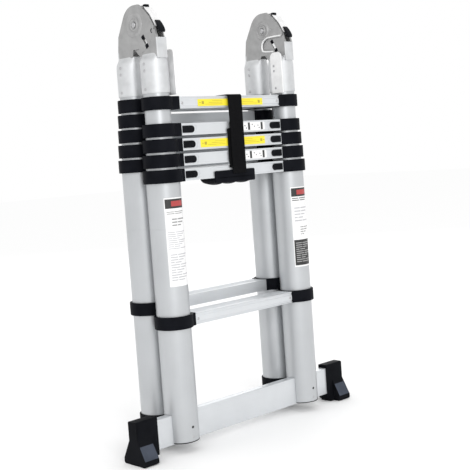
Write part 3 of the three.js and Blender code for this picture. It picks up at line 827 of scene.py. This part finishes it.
def make_beam_foot(side):
    """A black end boot: a tall sleeve on the beam, with a wedge that flares out below."""
    node = f"beam_foot_{side}"
    sign = SIDES[side]
    body = body_name("front", 1)
    low, high = part_box(node)
    middle = (low.y + high.y) / 2
    inner, outer = (low.x, high.x) if sign > 0 else (high.x, low.x)
    half = BOOT_HALF_DEPTH
    flare = (high.y - low.y) / 2
    wedge_inner = sign * WEDGE_INNER_X
    outline = rounded_rectangle((middle - half, BOOT_BOTTOM), (middle + half, high.z), 3)
    sleeve = prism_x(outline, inner, outer)
    wedge_half = [(flare - 4, 0), (flare - 1, 1.5), (flare, 5), (flare - 0.5, 11), (half, WEDGE_TOP)]
    wedge = prism_x(mirrored(wedge_half, middle), wedge_inner, outer)
    sole_half = [(half + 2, 0), (half + 3, 4), (half, 14)]
    sole = prism_x(mirrored(sole_half, middle), inner + sign * SOLE_INSET, outer)
    beam_low, beam_high = part_box("stabiliser_beam")
    socket = box_mesh(
        (inner - sign, beam_low.y - GAP, beam_low.z - GAP),
        (sign * (beam_high.x + GAP), beam_high.y + GAP, beam_high.z + GAP),
    )
    boot = cut(cut(sleeve, [wedge, sole], "UNION"), [socket])
    piece = new_object(f"{node}_boot", boot, RUBBER, body)
    rounded(piece, 1.4, 4, 30)
    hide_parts(node)
    face = [(-flare + 0.2, 12.2), (-half - 0.8, 46), (-half + 1.2, 46), (-flare + 2.2, 12.2)]
    face = [(middle + d, z) for d, z in face]
    pad = prism_x(face, wedge_inner + sign * 0.6, outer - sign * 1.2)
    rounded(new_object(f"{node}_wedge_face", pad, WEDGE, body), 0.3, 2)


def make_tube_plug(side):
    """The thin black edge under a front tube, a dark disc that paints the shade inside a hole, and the screw
    low on its front.
    """
    x, y = SIDES[side] * STILE_X, -STILE_Y
    body = body_name("front", 1)
    bottom = part_box(f"front_tube_1_{side}")[0].z
    radius = part_radius(f"front_tube_1_{side}")
    profile = [
        (radius - PLUG_WIDTH, bottom - PLUG_DROP),
        (radius - 0.4, bottom - PLUG_DROP),
        (radius, bottom - 1.2),
        (radius, bottom - 0.05),
        (radius - PLUG_WIDTH, bottom - 0.05),
    ]
    mesh = cut(turned(profile, x, y), [beam_opening(x, radius, 0)])
    new_object(f"front_tube_plug_{side}", mesh, RUBBER, body)
    # The hole is a dark domed disc: painted shade standing in for the hole's inside.
    for label, look in (("hole_shade", INK_AND_HOLE_SHADE), ("screw", BRIGHT)):
        place = (x, y - radius + 0.6, PLUG_HEIGHTS[label])
        new_head(f"front_tube_{label}_{side}", PLUG_HEAD, place, (0, -1, 0), body, look, SCREW_FACETS)


def make_foot_cap(side):
    """A rubber cap on a rear tube, cut flat towards the front half."""
    node = f"rear_foot_cap_{side}"
    low, high = part_box(node)
    x, y = SIDES[side] * STILE_X, STILE_Y
    radius = part_radius(node)
    bore = radius - 2.8
    profile = [(0.2, 0), (radius - 5, 0), (radius - 1.5, 1.4), (radius, 5), (radius, 12)]
    profile += [(radius - 0.7, 12.6), (radius - 0.7, 14.4), (radius, 15), (radius, high.z - 1.2)]
    profile += [(radius - 0.9, high.z), (bore, high.z), (bore, 12), (0.2, 12)]
    flat = box_mesh((x - 60, -STILE_Y, -1), (x + 60, low.y, high.z + 1))
    mesh = cut(turned(profile, x, y), [flat])
    piece = new_object(f"{node}_boot", mesh, RUBBER, "rear_section_1")
    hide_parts(node)


# Hinges ----

DISC = arc((0, PIVOT_Z), DISC_RADIUS, 0, 354, 59)


def plate_sides(side):
    """A bracket's two plates: the way along X from the hinge's middle, and a name."""
    return [(way, "outboard" if way == SIDES[side] else "inboard") for way in (-1, 1)]


def make_plate(name, x, way, layer, outline, cutters, body):
    """A pressed plate on one side of the hinge's middle plane."""
    plate = prism_x(outline, x + way * layer[0], x + way * layer[1])
    rounded(new_object(name, cut(plate, cutters), PLATE, body), PLATE_EDGE)


def slot_block(x_ends, along, length, width):
    """A block in line with the lock slot, centred at a share of the slot's length from its top."""
    start, end = Vector(SLOT[0]), Vector(SLOT[1])
    middle = start.lerp(end, along)
    run = (end - start).normalized() * (length / 2)
    across = Vector((-run.y, run.x)).normalized() * (width / 2)
    outline = [tuple(p) for p in (middle - run + across, middle + run + across)]
    outline += [tuple(p) for p in (middle + run - across, middle - run - across)]
    return prism_x(outline, *x_ends)


def slot_cutter(x):
    reach = OUTER_LAYER[1] + 2
    return slot_block((x - reach, x + reach), 0.5, math.dist(*SLOT), SLOT_WIDTH)


def make_slot_ends(node, x, way, body):
    """Black guides at both ends of the lock slot."""
    ends = (x + way * (OUTER_LAYER[0] + 0.1), x + way * (OUTER_LAYER[1] + 0.4))
    for number, (along, length) in enumerate(GUIDES):
        guide = slot_block(ends, along, length, GUIDE_WIDTH)
        rounded(new_object(f"{node}_guide_{number}", guide, BLACK, body), 0.5, 2)


def socket_mesh(x, y):
    """Round socket that narrows, like pressed metal, to a box under the plates."""
    bore = part_radius("front_tube_5_left") + GAP
    half_x, half_y = OUTER_LAYER[1], SOCKET_HALF_DEPTH
    rings = []
    for blend, z in SOCKET_STAGES:
        ring = []
        for c, s in circle(1):
            square_x = math.copysign(abs(c) ** SQUARENESS * half_x, c)
            square_y = math.copysign(abs(s) ** SQUARENESS * half_y, s)
            px = (1 - blend) * SLEEVE_RADIUS * c + blend * square_x
            py = (1 - blend) * SLEEVE_RADIUS * s + blend * square_y
            ring.append((x + px, y + py, z))
        rings.append(ring)
    return cut(loft(rings), [rod_z(SOCKET_BORE, x, y, bore)])


def make_socket(node, x, y, web_corners, body):
    """A bracket's socket, and the folded web above it that joins the two plates."""
    socket = new_object(f"{node}_socket", socket_mesh(x, y), STEEL, body)
    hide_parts(node)
    reach = OUTER_LAYER[1] + WEB_OVERLAP
    low, high = web_corners
    web = box_mesh((x - reach, *low), (x + reach, *high))
    rounded(new_object(f"{node}_web", web, STEEL, body), 0.9)


def make_rivets(node, x, y, body, ways):
    """Rivets that fix a socket to the tube inside it, on each side of the stile in ways."""
    for number, (angle, z) in enumerate(FIXINGS):
        for way in ways:
            turn = math.radians(angle)
            direction = Vector((way * math.cos(turn), math.sin(turn), 0))
            centre = Vector((x, y, z)) + direction * SLEEVE_RADIUS
            name = f"{node}_fixing_{number}{WAY_LETTER[way]}"
            new_head(name, FIXING_HEAD, centre, direction, body, BRIGHT)


def make_boss(name, face, way, body, scale):
    """The pivot's dished boss, its rivet, and a small locating rivet."""
    place, axis = (face, 0, PIVOT_Z), (way, 0, 0)
    dish = [(radius * scale, height) for radius, height in DISH]
    new_head(f"{name}_dish", dish, place, axis, body, PLATE, DISH_FACETS, 75)
    new_head(f"{name}_rivet", PIVOT_HEAD, place, axis, body, BRIGHT, RIVET_FACETS)
    new_head(f"{name}_dot", DOT_HEAD, (face, -24, PIVOT_Z - 1), axis, body, BRIGHT)


def make_rear_bracket(side):
    """Pressed plates outside the front bracket's, with an open mouth on the rungs' side."""
    node = f"rear_hinge_bracket_{side}"
    x = SIDES[side] * STILE_X
    body = body_name("rear", SECTIONS)
    reach = OUTER_LAYER[1]
    swing = arc((0, PIVOT_Z), SWING_RADIUS, *REAR_SWING, 30)
    outline = hull_outline(DISC + REAR_LEG + NOSE + swing)
    for way, name in plate_sides(side):
        arch = mirrored([*ARCH_HALF, (ARCH_TOP_HALF_WIDTH, ARCH_TOPS[name])])
        tools = [slot_cutter(x), prism_x(arch, x - 20, x + 20)]
        face = x + way * reach
        if name == "inboard":
            mouth = smooth_path(MOUTH)
            tools.append(prism_x(mouth, x + way * (OUTER_LAYER[0] - 0.2), x + way * (reach + 2)))
            ridge = [p for p in mouth if math.dist(p, (0, PIVOT_Z)) < SWING_RADIUS]
            rim = bead(ridge, x + way * (reach + 0.2), 2)
            # The rim is painted light, a painted highlight along the ridge.
            rounded(new_object(f"{node}_rim", rim, PAINTED_HIGHLIGHT_STEEL, body, 60), 0.3, 2, 30)
        else:
            make_slot_ends(node, x, way, body)
        make_plate(f"{node}_{name}", x, way, OUTER_LAYER, outline, tools, body)
        make_boss(f"{node}_{name}", face, way, body, INBOARD_DISH if name == "inboard" else 1)
        if name == "outboard":
            # A black bead painted as the shade in the notch of the outboard plate.
            notch_shade_mark = bead(arc((-55, PIVOT_Z - 18), 4.2, -70, 70, 12), face, 0.9)
            new_object(f"{node}_{name}_notch_shade", notch_shade_mark, BLACK, body, 60)
    make_socket(node, x, STILE_Y, REAR_WEB, body)
    shaft = rod_x(x - reach, x + reach, 0, PIVOT_Z, 5)
    new_object(f"{node}_shaft", shaft, BRIGHT, body)
    make_rivets(node, x, STILE_Y, body, (-1, 1))


def make_front_bracket(side):
    """Inner plates, with panels level with the rear bracket's beyond its swing, and the lock."""
    node = f"front_hinge_bracket_{side}"
    sign = SIDES[side]
    x = sign * STILE_X
    body = body_name("front", SECTIONS)
    outline = hull_outline(DISC + FRONT_LEG)
    for way, name in plate_sides(side):
        make_plate(f"{node}_{name}", x, way, INNER_LAYER, outline, [slot_cutter(x)], body)
        panel = OUTBOARD_PANEL if name == "outboard" else INBOARD_PANEL
        swing = rod_x(x - 30, x + 30, 0, PIVOT_Z, SWING_RADIUS + GAP, SWING_FACETS)
        step = (INNER_LAYER[1], OUTER_LAYER[1])
        make_plate(f"{node}_{name}_panel", x, way, step, panel, [slot_cutter(x), swing], body)
    make_socket(node, x, -STILE_Y, FRONT_WEB, body)
    make_brace(node, x, sign, body)
    make_rivets(node, x, -STILE_Y, body, (sign,))
    bar = slot_block((x - LOCK_BAR_REACH, x + LOCK_BAR_REACH), 0.5, LOCK_BAR_LENGTH, LOCK_BAR_WIDTH)
    # The lock bar is painted light, a painted highlight.
    rounded(new_object(f"{node}_lock_bar", bar, PAINTED_HIGHLIGHT_STEEL, body), 0.6, 2)
    ends = (x + sign * LOCK_BLOCK_START, x - sign * (INNER_LAYER[1] + 0.2))
    for number, (along, length) in enumerate(LOCK_BLOCKS):
        block = slot_block(ends, along, length, LOCK_BLOCK_WIDTH)
        rounded(new_object(f"{node}_lock_{number}", block, BLACK, body), 0.5, 2)


def make_brace(node, x, sign, body):
    """The flat side of the socket, towards the rungs, with its rivets."""
    near, far = (x - sign * distance for distance in BRACE_LAYER)
    outline = [(-STILE_Y + d, z) for d, z in BRACE]
    # The brace is painted light, a painted highlight on a face that sits in shade.
    rounded(new_object(f"{node}_brace", prism_x(outline, near, far), PAINTED_HIGHLIGHT_STEEL, body), 1)
    for number, (y, z) in enumerate(BRACE_RIVETS):
        new_head(f"{node}_brace_rivet_{number}", BRACE_HEAD, (far, y, z), (-sign, 0, 0), body, BRIGHT)


def make_lever(side):
    """Steel face along the hinge's front edge, painted light as a highlight, with a black pad that paints
    the shade under its tab, and a rubber stop.
    """
    node = f"hinge_lever_{side}"
    x = SIDES[side] * STILE_X
    face = prism_x(LEVER_FACE, x - LEVER_HALF_WIDTH, x + LEVER_HALF_WIDTH)
    # The face is painted nearly white, a painted highlight.
    piece = new_object(f"{node}_face", face, PAINTED_HIGHLIGHT_STEEL, node)
    rounded(piece, 0.5)
    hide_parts(node)
    cheek_out = INNER_LAYER[0] - GAP
    for way, letter in WAY_LETTER.items():
        cheek = prism_x(LEVER_CHEEK, x + way * cheek_out, x + way * (cheek_out - LEVER_WALL))
        rounded(new_object(f"{node}_cheek_{letter}", cheek, STEEL, node), 0.4, 2)
    # The pad is black as painted shade under the lever's tab.
    pad = prism_x(LEVER_PAD, x - PAD_HALF_WIDTH, x + PAD_HALF_WIDTH)
    rounded(new_object(f"{node}_pad", pad, THUMB_AND_TAB_SHADE, node), 1.6, 4)
    reach = INNER_LAYER[1] - GAP
    pin = rod_x(x - reach, x + reach, *LEVER_PIN, LEVER_PIN_RADIUS)
    new_object(f"{node}_pin", pin, BRIGHT, node)
    stop = prism_x(rounded_rectangle(*LEVER_STOP, 2), x - STOP_HALF_WIDTH, x + STOP_HALF_WIDTH)
    rounded(new_object(f"{node}_stop", stop, RUBBER, node), 0.8)


# Carry strap and grip ----

def grip_section(x, depth, middle, half, top):
    """One U-shaped section of the grip, flat on top and round below."""
    ring = [(x, middle + half, top), (x, middle - half, top)]
    steps = 16
    for k in range(steps + 1):
        angle = math.pi * k / steps
        down = math.sin(angle) ** 0.55
        ring.append((x, middle - half * math.cos(angle), top - 1 - (depth - 1) * down))
    return ring


def make_grip():
    """Moulded grip under the lowest button rung, with finger hollows below."""
    left, right = GRIP_ENDS
    face = -STILE_Y - RUNG_HALF_DEPTH - LIP
    front = face - GRIP_THICK
    body = body_name("front", 1)
    top = rung_top("front", 1) - RUNG_DROP - GAP
    middle, half = (front + GRIP_BACK) / 2, (GRIP_BACK - front) / 2
    steps = 60
    rings = []
    for i in range(steps + 1):
        along = i / steps
        x = left + (right - left) * along
        hollow = (1 + math.cos(along * FINGERS * 2 * math.pi)) / 2
        to_end = min(x - left, right - x) / GRIP_END_ROUND
        narrow = math.sqrt(max(0.12, 1 - (1 - min(1, to_end)) ** 2))
        depth = (top - GRIP_FLOOR - FINGER_DEPTH * hollow) * narrow
        rings.append(grip_section(x, depth, middle, half * (0.86 + 0.14 * narrow), top))
    new_object("grip_body", loft(rings), BLACK, body, 50)
    outline = rounded_rectangle((left + 1, GRIP_FLOOR + 4), (right, GRIP_FACE_TOP), 3)
    flange = prism_y(outline, front, face - 0.1)
    rounded(new_object("grip_face", flange, BLACK, body), 1.4, 4)


def strap_mesh(path, left, right, thick):
    """A flat strap of that thickness along a (y, z) path."""
    outside, inside = [], []
    for i, point in enumerate(path):
        across = across_path(path, i) * (thick / 2)
        outside.append(tuple(Vector(point) + across))
        inside.append(tuple(Vector(point) - across))
    return prism_x(outside + inside[::-1], left, right)


def make_strap():
    """The strap from the grip up over the top front rung, and a dark strip of webbing beside it for the
    strap's edge and, as painted shade, the gap behind it.
    """
    low, high = part_box("carry_strap")
    thick, bend = STRAP_THICK, STRAP_BEND
    body = body_name("front", SECTIONS)
    front, back = low.y + thick / 2, high.y - thick / 2
    top = high.z - thick / 2
    above, height = STRAP_MIDDLES
    path = [(front, low.z + 1), (front, low.z + above), (front, height), (front, top - bend)]
    path += arc((front + bend, top - bend), bend, 180, 90, 6)[1:]
    path += arc((back - bend, top - bend), bend, 90, 0, 6)
    path += [(back, top - bend - 8), (back, STRAP_BACK_END + 0.5)]
    mesh = strap_mesh(path, low.x, high.x, thick)
    piece = new_object("carry_strap_webbing", mesh, WEBBING, body)
    rounded(piece, 0.7, 2)
    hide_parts("carry_strap")
    # Dark strip for the strap's edge and painted shade in the gap behind it.
    edge_shade_path = [(front + thick + 0.1, z) for z in EDGE_SHADE_HEIGHTS]
    under = strap_mesh(edge_shade_path, low.x - EDGE_SHADE_SHIFT, high.x - EDGE_SHADE_SHIFT, EDGE_SHADE_THICK)
    layer = rounded(new_object("carry_strap_edge_and_gap_shade", under, WEBBING, body), 0.5, 2)


# Labels: plain colour fields with plain bars, and no lettering ----

def flat_label(name, section, box_xz, proud, look, bars, ink):
    """A thin sticker on a rung, proud of its front. bars are (x, z, x, z) boxes printed on it."""
    body = body_name("front", section)
    face = -STILE_Y - RUNG_HALF_DEPTH - proud
    outline = rounded_rectangle(*box_xz, 1.5, 3)
    new_object(name, prism_y(outline, face - LABEL_THICK, face), look, body)
    near, far = (face - distance for distance in PRINT_LAYER)
    meshes = [box_mesh((x0, near, z0), (x1, far, z1)) for x0, z0, x1, z1 in bars]
    new_object(f"{name}_print", merged(meshes), ink, body)


def make_yellow_label(section, proud, below_top):
    """A yellow sticker with a block, a dash and three bars towards each end."""
    high, low = (rung_top("front", section) - drop for drop in below_top)
    middle = (low + high) / 2
    bars = []
    for sign in SIDES.values():
        bars.append((sign * 80 - 3.2, middle - 3, sign * 80 + 3.2, middle + 3))
        bars.append((sign * 87.5 - 1.6, middle - 0.9, sign * 87.5 + 1.6, middle + 0.9))
        for row in (-3.4, 0, 3.4):
            bars.append((sign * 26, middle + row - 0.35, sign * (64 - 3 * row), middle + row + 0.35))
    flat_label(f"yellow_label_{section}", section, ((-94, low), (91, high)), proud, YELLOW, bars, YELLOW_INK)


def make_white_label(section):
    """A white sticker with two upright bars and six small squares."""
    low, high = (rung_top("front", section) - drop for drop in (21.5, 4.5))
    bars = [(x - 3, low + 1, x + 3, high - 0.6) for x in (46, 84)]
    for x, z in ((34, 10), (38, 5), (56, 12), (62, 8), (73, 10), (76, 5)):
        bars.append((x - 1.2, low + z - 1.2, x + 1.2, low + z + 1.2))
    flat_label(f"white_label_{section}", section, ((27, low), (93, high)), LIP - 0.6, WHITE, bars, INK_AND_HOLE_SHADE)


def curved_patch(x, y, radius, angles, heights, thick):
    """A thin patch on a tube, between two angles in degrees and two heights."""
    steps = max(3, int((angles[1] - angles[0]) / 4))
    row = arc((x, y), radius, *angles, steps) + arc((x, y), radius + thick, *angles[::-1], steps)
    return loft([at_z(row, z) for z in heights])


def make_tube_label(side, heights, blocks, rows):
    """A white label on the front of a tube: blank blocks of ink and rows of plain dashes."""
    radius = part_radius(f"front_tube_1_{side}")
    x, y = SIDES[side] * STILE_X, -STILE_Y
    body = body_name("front", 1)
    left, right = LABEL_ANGLES
    mesh = curved_patch(x, y, radius + 0.05, LABEL_ANGLES, heights, LABEL_THICK)
    new_object(f"tube_label_{side}", mesh, WHITE, body)
    inks = [curved_patch(x, y, radius + 0.1, (left + 3, right - 3), block, 0.2) for block in blocks]
    new_object(f"tube_label_blocks_{side}", merged(inks), INK_AND_HOLE_SHADE, body)
    badge = (blocks[0][0] + 4, blocks[0][1] - 4)
    mesh = curved_patch(x, y, radius + 0.3, (left + 24, right - 10), badge, LABEL_THICK)
    new_object(f"tube_label_badge_{side}", mesh, BADGE, body)
    for number, (top, bottom, pitch, first, ink) in enumerate(rows):
        dashes = []
        for row in range(int((top - bottom) / pitch)):
            z = top - row * pitch
            last = right - 5 - 11 * (row * 5 % 4)
            middle = first + (last - first) * (0.35 + 0.1 * (row % 3))
            for span in ((first, middle - 1.5), (middle + 1.5, last)):
                dashes.append(curved_patch(x, y, radius + 0.3, span, (z - 0.4 * pitch, z), 0.1))
        new_object(f"tube_label_dashes_{side}_{number}", merged(dashes), ink, body)


# Studio, in metres ----

def make_camera():
    data = bpy.data.cameras.new("camera")
    data.lens = CAMERA_LENS
    data.sensor_width = 36
    data.clip_end = 50
    camera = linked("camera", data)
    yaw, pitch, roll = (math.radians(a) for a in (CAMERA_YAW, CAMERA_PITCH, CAMERA_ROLL))
    ahead = Vector((math.cos(pitch) * math.sin(yaw), math.cos(pitch) * math.cos(yaw), math.sin(pitch)))
    level = Vector((math.cos(yaw), -math.sin(yaw), 0))
    upward = level.cross(ahead)
    right = math.cos(roll) * level + math.sin(roll) * upward
    up = -math.sin(roll) * level + math.cos(roll) * upward
    turn = Matrix((right, up, -ahead)).transposed()
    camera.matrix_world = Matrix.Translation(CAMERA_PLACE) @ turn.to_4x4()
    bpy.context.scene.camera = camera


def make_light(name, place, size, power):
    """An area light aimed at the middle of the ladder."""
    data = bpy.data.lights.new(name, "AREA")
    data.shape = "RECTANGLE"
    data.size, data.size_y = size
    data.energy = power
    light = linked(name, data)
    light.location = place
    light.rotation_euler = (Vector((0, 0, 0.45)) - Vector(place)).to_track_quat("-Z", "Y").to_euler()


def make_studio():
    """White surroundings and floor, a key light and a fill light."""
    world = bpy.data.worlds.new("studio")
    world.use_nodes = True
    background = world.node_tree.nodes["Background"].inputs
    background["Color"].default_value = (1, 1, 1, 1)
    background["Strength"].default_value = 1
    bpy.context.scene.world = world
    floor_mesh = bpy.data.meshes.new("floor")
    reach = 14
    corners = [(-reach, -reach, 0), (reach, -reach, 0), (reach, reach, 0), (-reach, reach, 0)]
    floor_mesh.from_pydata(corners, [], [(0, 1, 2, 3)])
    floor = linked("floor", floor_mesh)
    floor.location.z = -0.0005
    floor_mesh.materials.append(material("floor_white", (0.98, 0.98, 0.98), 0, 1, 0)[0])
    make_light("key", (-1.6, -3.2, 1.8), (1.4, 1.8), 42)
    make_light("fill", (2.8, 2.2, 2.0), (1.6, 2.2), 20)
    bpy.context.scene.view_settings.view_transform = "Standard"


# Assembly ----

LEFT_ROWS = (
    (484, 476, 3.6, -126, FAINT),
    (470, 452, 6, -110, FAINT),
    (444, 405, 4, -128, PALE),
    (400, 341, 5, -124, PALE),
)
RIGHT_ROWS = (
    (481, 468, 4.4, -128, DARK),
    (460, 425, 7, -122, PALE),
    (417, 396, 5.2, -102, FAINT),
    (382, 336, 4.6, -124, LIGHT),
)

make_camera()
for half in HALVES:
    make_rung(half, 0)
    for section in range(1, SECTIONS + 1):
        make_rung(half, section)
        for side in SIDES:
            make_tube(half, section, side)
            if section < SECTIONS:
                make_button(half, section, side)
make_beam()
make_grip()
make_strap()
make_yellow_label(5, 1.0, (7, 21))
make_yellow_label(3, LIP - 0.6, (4.6, 21))
make_white_label(4)
make_white_label(2)
for side in SIDES:
    make_tube_bead("front", side, (-46, 226))
    make_tube_bead("rear", side, (-180, 90))
make_tube_label("left", (336, 511), [(490, 508.5)], LEFT_ROWS)
make_tube_label("right", (328, 505), [(484, 502.5), (331.5, 388)], RIGHT_ROWS)
for side in SIDES:
    make_beam_foot(side)
    make_tube_plug(side)
    make_foot_cap(side)
    make_front_bracket(side)
    make_rear_bracket(side)
    make_lever(side)
make_studio()
